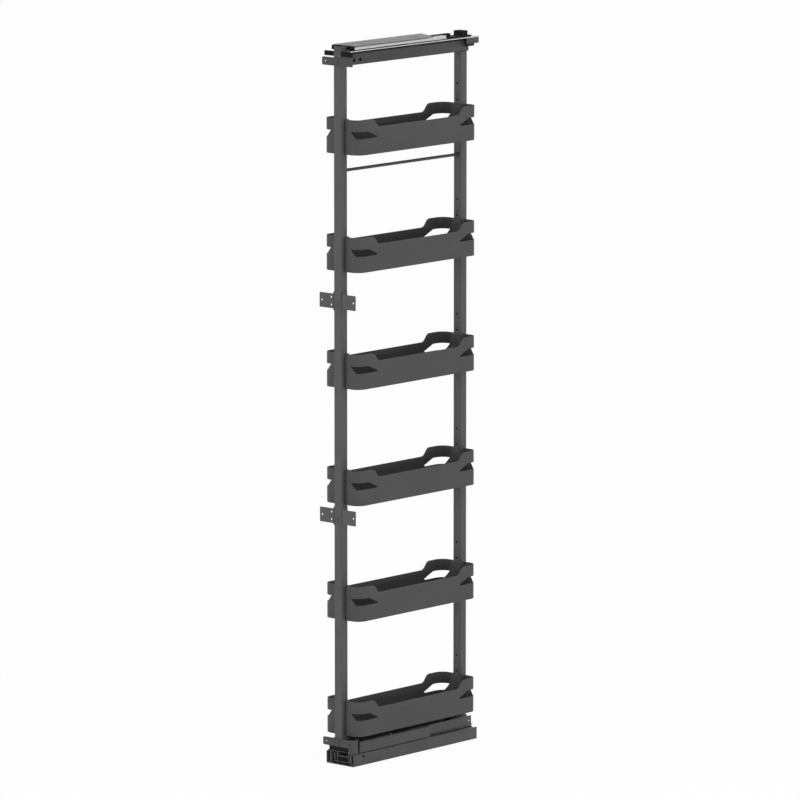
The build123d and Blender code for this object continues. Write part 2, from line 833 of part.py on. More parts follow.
with BuildPart() as bracket_screws:
    with BuildSketch(facing_front(upright_front_y)):
        with Locations(*bracket_screw_spots):
            Circle(screw_head_radius / 2 + screw_radius / 2)
    extrude(amount=screw_head_height / 2)
    with BuildSketch(facing_front(upright_front_y)):
        with Locations(*bracket_screw_spots):
            Circle(screw_radius)
    extrude(amount=-2 * tube_wall)
    for side in (-1, 1):
        flange_face = along_x(side * (tube_size / 2 + bracket_wall))
        with BuildSketch(flange_face):
            with Locations(*bracket_side_spots):
                Circle(screw_head_radius)
        extrude(amount=side * screw_head_height)
        with BuildSketch(flange_face):
            with Locations(*bracket_side_spots):
                Circle(screw_radius)
        extrude(amount=-side * (bracket_wall + 2 * tube_wall))
save(bracket_screws, "bracket_screws")


# Baskets: a rounded box with raised ends, wrapped slots and a recess for each upright
def basket_plan(inset, corner, recess_depth, recess_half):
    """Draws the plan of a basket, shrunk by the inset, with the recesses cut out."""
    with Locations((0, frame_middle_y)):
        RectangleRounded(basket_width - 2 * inset, upright_spacing - 2 * inset, corner)
    for end_y in (front_upright_y, rear_upright_y):
        with Locations((0, end_y)):
            Rectangle(2 * recess_half, 2 * recess_depth, mode=Mode.SUBTRACT)


def basket_sides(bottom):
    """Cuts the long sides down between the raised ends, with soft slopes."""
    low = bottom + basket_side_height
    high = bottom + basket_end_height
    flat_front = front_upright_y + basket_end_flat
    flat_rear = rear_upright_y - basket_end_flat
    top = high + cut_over
    with BuildSketch(along_x(0)) as dip:
        with BuildLine():
            front_slope = Spline(
                (flat_front, high), (flat_front + basket_end_slope, low),
                tangents=((1, 0), (1, 0)),
            )
            rear_slope = Spline(
                (flat_rear - basket_end_slope, low), (flat_rear, high),
                tangents=((1, 0), (1, 0)),
            )
            Line(front_slope @ 1, rear_slope @ 0)
            Polyline((flat_rear, high), (flat_rear, top), (flat_front, top), (flat_front, high))
        make_face()
    extrude(dip.sketch, amount=basket_width, both=True, mode=Mode.SUBTRACT)


def basket_slots(bottom):
    """Cuts the four slots that wrap round the corners."""
    low = bottom + slot_bottom
    high = bottom + slot_top
    reach = basket_width / 2 + cut_over
    bend = basket_corner
    for side in (-1, 1):
        for end, end_y in ((-1, front_upright_y), (1, rear_upright_y)):
            outside = end_y + end * cut_over
            bend_y = end_y - end * bend
            with BuildSketch(facing_front(max(outside, bend_y))) as end_slot:
                with BuildLine():
                    Polyline(
                        (side * slot_end_top, high), (side * slot_end_bottom, low),
                        (side * reach, low), (side * reach, high), close=True,
                    )
                make_face()
            extrude(end_slot.sketch, amount=abs(outside - bend_y), mode=Mode.SUBTRACT)
            start_y = bend_y + end * rim_round
            with BuildSketch(along_x(side * (basket_width / 2 - 2 * basket_wall))) as side_slot:
                with BuildLine():
                    Polyline(
                        (start_y, low), (end_y - end * slot_side_bottom, low),
                        (end_y - end * slot_side_tip, bottom + slot_tip_height),
                        (end_y - end * slot_side_top, high), (start_y, high), close=True,
                    )
                make_face()
            side_depth = side * (2 * basket_wall + cut_over)
            extrude(side_slot.sketch, amount=side_depth, mode=Mode.SUBTRACT)


recess_half = tube_size / 2 + recess_fit
recess_depth = tube_size / 2 + recess_fit
for level, bottom in enumerate(basket_heights, start=1):
    with BuildPart() as basket:
        with BuildSketch(along_z(bottom)) as plan:
            basket_plan(0, basket_corner, recess_depth, recess_half)
            for end_y in (front_upright_y, rear_upright_y):
                mouths = [(side * recess_half, end_y) for side in (-1, 1)]
                fillet(
                    [plan.vertices().sort_by_distance(mouth)[0] for mouth in mouths],
                    recess_mouth_round,
                )
        extrude(amount=basket_end_height)
        with BuildSketch(along_z(bottom + basket_wall)) as inner_plan:
            basket_plan(
                basket_wall, basket_corner - basket_wall,
                recess_depth + basket_wall, recess_half + basket_wall,
            )
            for end_y in (front_upright_y, rear_upright_y):
                mouths = [(side * (recess_half + basket_wall), end_y) for side in (-1, 1)]
                fillet(
                    [inner_plan.vertices().sort_by_distance(mouth)[0] for mouth in mouths],
                    recess_mouth_round - basket_wall,
                )
        extrude(amount=basket_end_height, mode=Mode.SUBTRACT)
        basket_sides(bottom)
        basket_slots(bottom)
        screw_spots = [(0, bottom + row) for row in (basket_screw_low, basket_screw_high)]
        for wall_y in (front_upright_y + recess_depth, rear_upright_y - recess_depth):
            drill(facing_front(wall_y), screw_spots, screw_radius + screw_fit, basket_wall + screw_fit)
    save(basket, f"basket_{level}")

basket_screw_spots = [
    (0, bottom + row) for bottom in basket_heights for row in (basket_screw_low, basket_screw_high)
]
with BuildPart() as basket_screws:
    for end, upright_y in ((1, front_upright_y), (-1, rear_upright_y)):
        head_seat = upright_y + end * (recess_depth + basket_wall)
        with BuildSketch(facing_front(head_seat)):
            with Locations(*basket_screw_spots):
                Circle(screw_head_radius)
        extrude(amount=-end * screw_head_height)
        with BuildSketch(facing_front(head_seat)):
            with Locations(*basket_screw_spots):
                Circle(screw_radius)
        extrude(amount=end * (basket_wall + recess_fit + 2 * tube_wall))
        head_face = facing_front(head_seat + end * screw_head_height)
        drill(head_face, basket_screw_spots, socket_radius, socket_depth)
save(basket_screws, "basket_screws")

# Cross rod and its end nuts
rod_front = front_upright_y + tube_size / 2 - 2 * tube_wall
rod_rear = rear_upright_y - tube_size / 2 + 2 * tube_wall
with BuildPart() as cross_rod:
    with BuildSketch(facing_front(rod_rear)):
        with Locations((0, rod_height)):
            Circle(rod_radius)
    extrude(amount=rod_rear - rod_front)
save(cross_rod, "cross_rod")

with BuildPart() as rod_nuts:
    for start_y in (front_upright_y + tube_size / 2 + rod_nut_wall, rear_upright_y - tube_size / 2):
        with BuildSketch(facing_front(start_y)):
            with Locations((0, rod_height)):
                RegularPolygon(rod_nut_radius, hexagon_sides)
                Circle(rod_radius + screw_fit, mode=Mode.SUBTRACT)
        extrude(amount=rod_nut_wall)
save(rod_nuts, "rod_nuts")

# Upper guide: mounting plate under the cabinet's top
cover_front = outer_front
cover_far_rear = outer_rear - cover_rear_inset
cover_near_rear = cover_far_rear - cover_skew
cover_slots = [
    (x, cover_front + cover_slot_inset + cover_slot_step * index)
    for x in (-cover_slot_half_step, cover_slot_half_step)
    for index in range(2)
]
with BuildPart() as top_mounting_plate:
    with BuildSketch(along_z(cover_bottom_height)):
        with BuildLine():
            Polyline(
                (-cover_half_width, cover_front), (cover_half_width, cover_front),
                (cover_half_width, cover_near_rear), (-cover_half_width, cover_far_rear), close=True,
            )
        make_face()
        with Locations(*cover_slots):
            SlotOverall(cover_slot_length, 2 * mount_hole_radius, rotation=90, mode=Mode.SUBTRACT)
    extrude(amount=cover_wall)
save(top_mounting_plate, "top_mounting_plate")

# Upper guide: fixed outer profile, an upside-down U under the plate
with BuildPart() as top_outer_profile:
    side_x = outer_half_width - guide_wall / 2
    web_z = outer_top_height - guide_wall / 2
    roll(
        [
            (-side_x, outer_bottom_height),
            (-side_x, web_z),
            (side_x, web_z),
            (side_x, outer_bottom_height),
        ],
        guide_wall, guide_bend, outer_front, outer_rear,
    )
save(top_outer_profile, "top_outer_profile")

# Upper guide: plastic spacer block behind the outer profile
with BuildPart() as top_rear_block:
    plate_rear = outer_rear + rear_plate_length
    with BuildSketch(along_z(rear_plate_bottom)):
        with Locations((0, (outer_rear + plate_rear) / 2)):
            Rectangle(2 * rear_plate_half_width, rear_plate_length)
    extrude(amount=rear_plate_top - rear_plate_bottom)
    block_front = outer_rear + rear_block_setback
    with BuildSketch(along_z(rear_plate_top)):
        with Locations((0, block_front + rear_block_depth / 2)):
            Rectangle(2 * rear_block_half_width, rear_block_depth)
    extrude(amount=rear_block_top - rear_plate_top)
    with BuildSketch(along_z(rear_plate_top)):
        with Locations((0, outer_rear + cover_spacer_reach / 2)):
            Rectangle(2 * cover_spacer_half_width, cover_spacer_reach)
    extrude(amount=outer_top_height - rear_plate_top)
    crown = top_rear_block.faces().filter_by(Axis.Z).sort_by(Axis.Z)[-1].edges()
    fillet(crown, rear_block_crown)
save(top_rear_block, "top_rear_block")

# Upper guide: plastic spacer strip under the mounting plate, on to the rear block
with BuildPart() as top_cover_spacer:
    spacer_end = outer_rear + cover_spacer_reach
    with BuildSketch(along_z(outer_top_height)):
        with Locations((0, (outer_front + spacer_end) / 2)):
            Rectangle(2 * cover_spacer_half_width, spacer_end - outer_front)
    extrude(amount=cover_spacer_height)
save(top_cover_spacer, "top_cover_spacer")

# Upper guide: half-way profile
with BuildPart() as top_middle_profile:
    side_x = guide_middle_half - guide_wall / 2
    web_z = guide_middle_top - guide_wall / 2
    roll(
        [
            (-side_x, guide_middle_bottom),
            (-side_x, web_z),
            (side_x, web_z),
            (side_x, guide_middle_bottom),
        ],
        guide_wall, guide_bend, guide_middle_front, guide_middle_rear,
    )
save(top_middle_profile, "top_middle_profile")

# Upper guide: inner profile on the beam, a wide plate with two ribs
with BuildPart() as top_inner_profile:
    with BuildSketch(facing_front(guide_plate_end)):
        with Locations((0, strip_top + guide_plate_wall / 2)):
            Rectangle(2 * outer_half_width, guide_plate_wall)
        rib_middle = (plate_top + guide_rib_top) / 2
        for side in (-1, 1):
            with Locations((side * (guide_rib_half - guide_wall / 2), rib_middle)):
                Rectangle(guide_wall, guide_rib_top - plate_top)
    extrude(amount=guide_plate_end - guide_front)
    rib_end = outer_rear - connector_gap
    with BuildSketch(along_z(plate_top)):
        with Locations((0, (rib_end + guide_plate_end) / 2)):
            Rectangle(2 * outer_half_width, guide_plate_end - rib_end)
    extrude(amount=guide_rib_top, mode=Mode.SUBTRACT)
    screw_seat = [(0, y) for y in strip_screw_y]
    drill(along_z(plate_top), screw_seat, screw_radius + screw_fit, cut_over)
    drill(along_z(plate_top), screw_seat, screw_head_radius + screw_fit, strip_head_height)
save(top_inner_profile, "top_inner_profile")

# Dark strip between the beam and the inner profile
with BuildPart() as top_spacer_strip:
    strip_front = beam_front + strip_end_inset
    strip_rear = beam_rear - strip_end_inset
    with BuildSketch(along_z(beam_top_height)):
        with Locations((0, (strip_front + strip_rear) / 2)):
            Rectangle(2 * strip_half_width, strip_rear - strip_front)
        with Locations(*[(0, y) for y in strip_screw_y]):
            Circle(screw_radius + screw_fit, mode=Mode.SUBTRACT)
    extrude(amount=strip_height)
save(top_spacer_strip, "top_spacer_strip")

with BuildPart() as strip_screws:
    stud(along_z(plate_top), screw_seat, screw_head_radius, -strip_head_height)
    stud(along_z(plate_top), screw_seat, screw_radius, -(guide_plate_wall + strip_height + 2 * tube_wall))
save(strip_screws, "strip_screws")

# Upper cages, placed so that they stay between their profiles over the whole travel
outer_end = guide_middle_rear - half_travel_share * travel
outer_cage_y = outer_end - outer_cage_slack + half_travel_share**2 * travel
cage_pair(
    "upper_outer", (outer_inner_half + guide_middle_half) / 2, upper_ball_height, upper_cage_height,
    outer_cage_y - upper_cage_length, outer_cage_y, upper_ball_count, upper_ball_radius,
)
inner_start = guide_middle_front - half_travel_share * travel
inner_cage_y = inner_start + inner_cage_slack + (half_travel_share + half_travel_share**2) * travel
cage_pair(
    "upper_inner", (guide_middle_half - guide_wall + guide_rib_half) / 2, upper_ball_height,
    upper_cage_height, inner_cage_y, inner_cage_y + upper_cage_length, upper_ball_count,
    upper_ball_radius,
)

# Front connector: an open post on the front upright with an arched bridge before the guide
with BuildPart() as front_connector:
    square_tube(front_upright_y, upright_top, connector_top)
    wing_side_top = connector_top - wing_rise
    wing_bottom = wing_side_top - wing_height
    with BuildSketch(facing_front(guide_front)) as bridge:
        with BuildLine():
            arch = ThreePointArc(
                (-wing_half_width, wing_side_top), (0, connector_top), (wing_half_width, wing_side_top)
            )
            Polyline(
                arch @ 1, (wing_half_width, wing_bottom), (-wing_half_width, wing_bottom), arch @ 0
            )
        make_face()
        window_top = wing_side_top - wing_wall
        with Locations((0, (window_top + wing_bottom) / 2)):
            Rectangle(tube_size - 2 * tube_wall, window_top - wing_bottom, mode=Mode.SUBTRACT)
    extrude(bridge.sketch, amount=wing_depth)
save(front_connector, "front_connector")

# Plastic guide blocks beside the front upright
for side, name in ((-1, "guide_block_left"), (1, "guide_block_right")):
    with BuildPart() as guide_block:
        block_middle = side * (tube_size / 2 + guide_block_reach) / 2
        block_y = front_upright_y - guide_block_front + guide_block_depth / 2
        with BuildSketch(along_z(guide_block_top)):
            with Locations((block_middle, block_y)):
                Rectangle(guide_block_reach - tube_size / 2, guide_block_depth)
        extrude(amount=-guide_block_height)
        upright_edges = guide_block.edges().filter_by(Axis.Z)
        outer_edges = upright_edges.sort_by(Axis.X)[-2:] if side > 0 else upright_edges.sort_by(Axis.X)[:2]
        fillet(outer_edges, guide_block_round)
    save(guide_block, name)

# Rear end bracket under the inner profile's overhang, its cheeks beside the beam's end
bracket_front = beam_rear - end_bracket_front_over
bracket_web_front = beam_rear + end_bracket_front_gap
bracket_inner_half = end_bracket_half_width - end_bracket_wall
with BuildPart() as top_end_bracket:
    with BuildSketch(along_z(strip_top)):
        with Locations((0, (bracket_front + guide_plate_end) / 2)):
            Rectangle(2 * end_bracket_half_width, guide_plate_end - bracket_front)
    extrude(amount=-end_bracket_drop)
    with BuildSketch(along_z(strip_top)):
        with Locations((0, (bracket_front + bracket_web_front) / 2)):
            Rectangle(2 * bracket_inner_half, bracket_web_front - bracket_front)
    extrude(amount=-end_bracket_drop, mode=Mode.SUBTRACT)
    with BuildSketch(along_z(strip_top - end_bracket_wall)):
        with Locations((0, (bracket_web_front + end_bracket_wall + guide_plate_end) / 2)):
            Rectangle(2 * bracket_inner_half, guide_plate_end - bracket_web_front - end_bracket_wall)
    extrude(amount=-end_bracket_drop, mode=Mode.SUBTRACT)
save(top_end_bracket, "top_end_bracket")

with BuildPart() as top_end_buffer:
    buffer_front = bracket_front + end_buffer_setback
    notch_half = tube_size / 2 + end_buffer_side_gap
    with BuildSketch(along_z(strip_top - end_bracket_drop)):
        with Locations((0, buffer_front + end_buffer_depth / 2)):
            Rectangle(2 * end_bracket_half_width, end_buffer_depth)
        with Locations((0, (buffer_front + bracket_web_front) / 2)):
            Rectangle(2 * notch_half, bracket_web_front - buffer_front, mode=Mode.SUBTRACT)
    extrude(amount=-end_buffer_height)
    fillet(top_end_buffer.edges().filter_by(Axis.X).sort_by(Axis.Y)[-2:], rim_round)
save(top_end_buffer, "top_end_buffer")
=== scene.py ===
"""Dressed model of a pull out pantry frame: finishes, pieces, studio and camera."""
import logging
import math
from dataclasses import dataclass, field
from enum import Enum
from typing import Sequence

import bmesh
import bpy
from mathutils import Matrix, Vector


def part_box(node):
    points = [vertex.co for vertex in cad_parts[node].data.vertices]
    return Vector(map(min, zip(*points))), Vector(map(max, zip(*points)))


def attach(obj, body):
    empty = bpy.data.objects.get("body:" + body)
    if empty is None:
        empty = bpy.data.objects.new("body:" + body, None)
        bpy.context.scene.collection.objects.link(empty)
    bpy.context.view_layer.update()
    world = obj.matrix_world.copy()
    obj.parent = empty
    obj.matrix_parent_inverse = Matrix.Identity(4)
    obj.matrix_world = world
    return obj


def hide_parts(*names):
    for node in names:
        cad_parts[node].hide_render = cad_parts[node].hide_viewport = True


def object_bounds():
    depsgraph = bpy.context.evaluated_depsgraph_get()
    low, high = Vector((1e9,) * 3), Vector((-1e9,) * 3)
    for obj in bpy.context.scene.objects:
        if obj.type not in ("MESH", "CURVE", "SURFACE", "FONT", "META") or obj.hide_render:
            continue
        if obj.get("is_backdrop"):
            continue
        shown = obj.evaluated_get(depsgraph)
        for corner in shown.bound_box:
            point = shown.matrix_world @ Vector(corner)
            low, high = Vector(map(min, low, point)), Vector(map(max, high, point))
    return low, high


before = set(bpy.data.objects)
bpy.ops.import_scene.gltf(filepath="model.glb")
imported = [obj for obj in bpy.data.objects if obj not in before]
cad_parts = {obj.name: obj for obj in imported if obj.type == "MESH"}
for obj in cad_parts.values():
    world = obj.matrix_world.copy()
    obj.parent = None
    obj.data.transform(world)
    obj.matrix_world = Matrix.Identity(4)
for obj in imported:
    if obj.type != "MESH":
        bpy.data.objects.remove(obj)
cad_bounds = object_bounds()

log = logging.getLogger("pantry_frame")

MM = 0.001
Colour = tuple[float, float, float]
Point = tuple[float, float, float]


class Body(Enum):
    """The bodies that pieces ride on."""

    CABINET_SIDE = "cabinet_side"
    PULL_OUT_FRAME = "pull_out_frame"
    LOWER_MIDDLE = "lower_middle"
    LOWER_OUTER_CAGES = "lower_outer_cages"
    LOWER_INNER_CAGES = "lower_inner_cages"
    UPPER_MIDDLE = "upper_middle"
    UPPER_OUTER_CAGES = "upper_outer_cages"
    UPPER_INNER_CAGES = "upper_inner_cages"


class Slot(Enum):
    """Material slots of the record."""

    FRAME_STEEL = "frame_steel"
    GUIDE_STEEL = "guide_steel"
    BASKET_PLASTIC = "basket_plastic"
    BLACK_PLASTIC = "black_plastic"
    GREY_PLASTIC = "grey_plastic"
    BUFFER_RUBBER = "buffer_rubber"
    BALL_STEEL = "ball_steel"
    SCREW_STEEL = "screw_steel"


class Lay(Enum):
    """Direction that a grain is drawn out in, as the scale of its X, Y and Z."""

    ALONG_Y = (1.0, 0.02, 1.0)
    EVEN = (1.0, 1.0, 1.0)


class Detail(Enum):
    """Number of layers of finer specks in a grain."""

    COARSE = 1.0
    MEDIUM = 2.0
    FINE = 3.0
    FINEST = 4.0


class FinishGraph:
    """A short way to wire the node tree of one finish."""

    noise_low: float = 0.3
    noise_high: float = 0.7
    mix_factor: int = 0
    mix_dark: int = 6
    mix_light: int = 7
    mix_result: int = 2
    opaque: float = 1.0

    def __init__(self, name: str) -> None:
        """Starts a material whose detail lies in the object's own space.

        Args:
            name: Name of the material.
        """
        self.material = bpy.data.materials.new(name)
        self.material.use_nodes = True
        self.tree = self.material.node_tree
        self.shader = self.tree.nodes["Principled BSDF"]
        self.place = self.tree.nodes.new("ShaderNodeTexCoord").outputs["Object"]

    def fixed(self, **values: object) -> None:
        """Sets plain values on the shader's own sockets, underscores standing for blanks."""
        for key, value in values.items():
            self.shader.inputs[key.replace("_", " ")].default_value = value

    def grain(
        self, size: float, detail: Detail = Detail.MEDIUM, lay: Lay = Lay.EVEN
    ) -> bpy.types.NodeSocket:
        """Adds noise of a real size.

        Args:
            size: Size of one speck in metres.
            detail: Number of finer layers.
            lay: Direction that the specks are drawn out in.

        Returns:
            The noise's value socket.
        """
        mapping = self.tree.nodes.new("ShaderNodeMapping")
        mapping.inputs["Scale"].default_value = lay.value
        self.tree.links.new(self.place, mapping.inputs["Vector"])
        noise = self.tree.nodes.new("ShaderNodeTexNoise")
        noise.inputs["Scale"].default_value = 1.0 / size
        noise.inputs["Detail"].default_value = detail.value
        self.tree.links.new(mapping.outputs["Vector"], noise.inputs["Vector"])
        return noise.outputs["Fac"]

    def cells(self, size: float) -> bpy.types.NodeSocket:
        """Adds a cell pattern of a real size.

        Args:
            size: Size of one cell in metres.

        Returns:
            The pattern's distance socket.
        """
        pattern = self.tree.nodes.new("ShaderNodeTexVoronoi")
        pattern.inputs["Scale"].default_value = 1.0 / size
        self.tree.links.new(self.place, pattern.inputs["Vector"])
        return pattern.outputs["Distance"]

    def spread(
        self, source: bpy.types.NodeSocket, low: float, high: float
    ) -> bpy.types.NodeSocket:
        """Maps the band that nearly all of a noise lies in onto a range.

        Args:
            source: The noise's value socket.
            low: Result at the low end of the band.
            high: Result at its high end.

        Returns:
            The result's socket.
        """
        node = self.tree.nodes.new("ShaderNodeMapRange")
        node.inputs["From Min"].default_value = self.noise_low
        node.inputs["From Max"].default_value = self.noise_high
        node.inputs["To Min"].default_value = low
        node.inputs["To Max"].default_value = high
        self.tree.links.new(source, node.inputs["Value"])
        return node.outputs["Result"]

    def shade(
        self, source: bpy.types.NodeSocket, colour: Colour, dark_share: float, light_share: float
    ) -> None:
        """Lets the base colour drift between a darker and a lighter share of one colour.

        Args:
            source: The noise that the colour follows.
            colour: The colour itself.
            dark_share: Share of it at the noise's low end.
            light_share: Share of it at the noise's high end.
        """
        mix = self.tree.nodes.new("ShaderNodeMix")
        mix.data_type = "RGBA"
        self.tree.links.new(self.spread(source, 0.0, 1.0), mix.inputs[self.mix_factor])
        mix.inputs[self.mix_dark].default_value = (*scaled(colour, dark_share), self.opaque)
        mix.inputs[self.mix_light].default_value = (*scaled(colour, light_share), self.opaque)
        self.wire(mix.outputs[self.mix_result], "Base Color")

    def roughen(
        self, source: bpy.types.NodeSocket, roughness: float, smoother: float, rougher: float
    ) -> None:
        """Lets the roughness drift round one value.

        Args:
            source: The noise that the roughness follows.
            roughness: The value itself.
            smoother: How far it drops at the noise's low end.
            rougher: How far it rises at the noise's high end.
        """
        self.wire(self.spread(source, roughness - smoother, roughness + rougher), "Roughness")

    def relief(
        self,
        source: bpy.types.NodeSocket,
        depth: float,
        below: bpy.types.NodeSocket | None = None,
    ) -> bpy.types.NodeSocket:
        """Adds relief of a real depth.

        Args:
            source: The value that the height follows.
            depth: Depth of the relief in metres.
            below: Normal of the relief that this one lies over.

        Returns:
            The relief's normal socket.
        """
        bump = self.tree.nodes.new("ShaderNodeBump")
        bump.inputs["Distance"].default_value = depth
        self.tree.links.new(source, bump.inputs["Height"])
        if below is not None:
            self.tree.links.new(below, bump.inputs["Normal"])
        return bump.outputs["Normal"]

    def wire(self, socket: bpy.types.NodeSocket, name: str) -> None:
        """Links a socket to one of the shader's inputs by name."""
        self.tree.links.new(socket, self.shader.inputs[name])


def scaled(colour: Colour, factor: float) -> Colour:
    """Returns a colour made lighter or darker by a factor."""
    return tuple(min(1.0, part * factor) for part in colour)


@dataclass(frozen=True)
class PowderCoat:
    """Baked powder coat on steel, with its fine orange peel."""

    name: str
    colour: Colour
    roughness: float = 0.52
    specular: float = 0.35
    dark_share: float = 0.93
    light_share: float = 1.07
    smoother: float = 0.05
    rougher: float = 0.06
    cloud_size: float = 90 * MM
    speck_size: float = 0.5 * MM
    peel_size: float = 1.1 * MM
    peel_depth: float = 0.012 * MM

    def material(self) -> bpy.types.Material:
        """Builds the coat's material.

        Returns:
            The finished material.
        """
        graph = FinishGraph(self.name)
        graph.fixed(Metallic=0.0, Specular_IOR_Level=self.specular)
        cloud = graph.grain(self.cloud_size, Detail.FINE)
        graph.shade(cloud, self.colour, self.dark_share, self.light_share)
        speck = graph.grain(self.speck_size, Detail.COARSE)
        graph.roughen(speck, self.roughness, self.smoother, self.rougher)
        peel = graph.relief(graph.grain(self.peel_size), self.peel_depth)
        graph.wire(peel, "Normal")
        return graph.material


@dataclass(frozen=True)
class MouldedPlastic:
    """Injection moulded plastic with a fine spark-eroded grain."""

    name: str
    colour: Colour
    roughness: float = 0.6
    specular: float = 0.3
    dark_share: float = 0.95
    light_share: float = 1.05
    smoother: float = 0.04
    rougher: float = 0.05
    flow_size: float = 140 * MM
    patch_size: float = 6 * MM
    swell_size: float = 2.4 * MM
    grain_size: float = 0.7 * MM
    grain_depth: float = 0.02 * MM

    def material(self) -> bpy.types.Material:
        """Builds the plastic's material.

        Returns:
            The finished material.
        """
        graph = FinishGraph(self.name)
        graph.fixed(Metallic=0.0, Specular_IOR_Level=self.specular)
        flow = graph.grain(self.flow_size)
        graph.shade(flow, self.colour, self.dark_share, self.light_share)
        patch = graph.grain(self.patch_size)
        graph.roughen(patch, self.roughness, self.smoother, self.rougher)
        pits = graph.relief(graph.cells(self.grain_size), self.grain_depth)
        swell = graph.relief(graph.grain(self.swell_size), self.grain_depth / 2, pits)
        graph.wire(swell, "Normal")
        return graph.material


@dataclass(frozen=True)
class RolledSteel:
    """Bare or zinc plated steel, with the streaks of its rolling where it has them."""

    name: str
    colour: Colour
    roughness: float = 0.36
    lay: Lay = Lay.ALONG_Y
    metallic: float = 1.0
    specular: float = 0.5
    dark_share: float = 0.92
    light_share: float = 1.06
    smoother: float = 0.06
    rougher: float = 0.08
    streak_size: float = 0.9 * MM
    streak_depth: float = 0.006 * MM
    bloom_size: float = 24 * MM

    def material(self) -> bpy.types.Material:
        """Builds the steel's material.

        Returns:
            The finished material.
        """
        graph = FinishGraph(self.name)
        graph.fixed(Metallic=self.metallic, Specular_IOR_Level=self.specular)
        streak = graph.grain(self.streak_size, Detail.FINE, self.lay)
        bloom = graph.grain(self.bloom_size, Detail.FINE)
        graph.shade(bloom, self.colour, self.dark_share, self.light_share)
        graph.roughen(streak, self.roughness, self.smoother, self.rougher)
        graph.wire(graph.relief(streak, self.streak_depth), "Normal")
        return graph.material


@dataclass(frozen=True)
class CastZinc:
    """Die-cast zinc with its mottled, slightly rough skin."""

    name: str
    colour: Colour
    roughness: float = 0.5
    metallic: float = 0.3
    specular: float = 0.5
    dark_share: float = 0.3
    light_share: float = 2.0
    smoother: float = 0.08
    rougher: float = 0.1
    mottle_size: float = 3.5 * MM
    skin_size: float = 0.9 * MM
    skin_depth: float = 0.05 * MM

    def material(self) -> bpy.types.Material:
        """Builds the casting's material.

        Returns:
            The finished material.
        """
        graph = FinishGraph(self.name)
        graph.fixed(Metallic=self.metallic, Specular_IOR_Level=self.specular)
        mottle = graph.grain(self.mottle_size, Detail.FINEST)
        graph.shade(mottle, self.colour, self.dark_share, self.light_share)
        graph.roughen(mottle, self.roughness, self.smoother, self.rougher)
        skin = graph.relief(graph.grain(self.skin_size, Detail.FINE), self.skin_depth)
        graph.wire(skin, "Normal")
        return graph.material


@dataclass(frozen=True)
class SoftRubber:
    """Dull black rubber with a dusty bloom."""

    name: str
    colour: Colour = (0.016, 0.016, 0.017)
    specular: float = 0.25
    bloom_share: float = 1.8
    bloom_size: float = 8 * MM
    smoothest: float = 0.78
    roughest: float = 0.92
    dust_size: float = 1.2 * MM
    pit_size: float = 0.5 * MM
    pit_depth: float = 0.02 * MM

    def material(self) -> bpy.types.Material:
        """Builds the rubber's material.

        Returns:
            The finished material.
        """
        graph = FinishGraph(self.name)
        graph.fixed(Metallic=0.0, Specular_IOR_Level=self.specular)
        bloom = graph.grain(self.bloom_size, Detail.FINE)
        graph.shade(bloom, self.colour, 1.0, self.bloom_share)
        dust = graph.grain(self.dust_size)
        graph.wire(graph.spread(dust, self.smoothest, self.roughest), "Roughness")
        graph.wire(graph.relief(graph.grain(self.pit_size), self.pit_depth), "Normal")
        return graph.material


@dataclass(frozen=True)
class FinishSet:
    """Every finish of the object, under the name that the sub-assemblies ask for."""

    frame_coat: PowderCoat = PowderCoat("frame_coat", (0.080, 0.080, 0.082))
    base_coat: PowderCoat = PowderCoat("base_coat", (0.068, 0.068, 0.070))
    # Darker copy of the frame coat: on the top beam it is painted shade where the light falls off
    # towards the top, and the front bars take the same coat.
    shaded_bar_coat: PowderCoat = PowderCoat("shaded_bar_coat", (0.052, 0.052, 0.054))
    basket: MouldedPlastic = MouldedPlastic("basket_grey", (0.067, 0.067, 0.069))
    zinc: RolledSteel = RolledSteel("zinc_sheet", (0.57, 0.57, 0.58))
    # Duller, less metallic copy of the zinc; its darker colour is painted shade for the lower
    # slide, which sits in shade under the frame.
    dull_shaded_zinc: RolledSteel = RolledSteel(
        "dull_zinc_sheet", (0.17, 0.17, 0.175), roughness=0.5, metallic=0.7
    )
    cover: RolledSteel = RolledSteel(
        "cover_sheet", (0.155, 0.155, 0.16), roughness=0.6, metallic=0.3
    )
    black: MouldedPlastic = MouldedPlastic(
        "black_plastic", (0.005, 0.005, 0.0052), roughness=0.62, specular=0.12
    )
    grey: MouldedPlastic = MouldedPlastic(
        "connector_grey", (0.066, 0.066, 0.068), roughness=0.5
    )
    rubber: SoftRubber = SoftRubber("buffer_rubber")
    ball: RolledSteel = RolledSteel(
        "ball_steel", (0.72, 0.72, 0.74), roughness=0.12, lay=Lay.EVEN
    )
    screw: RolledSteel = RolledSteel(
        "screw_steel", (0.075, 0.075, 0.08), roughness=0.5, lay=Lay.EVEN, metallic=0.5
    )
    cast: CastZinc = CastZinc("cast_zinc", (0.055, 0.055, 0.057))


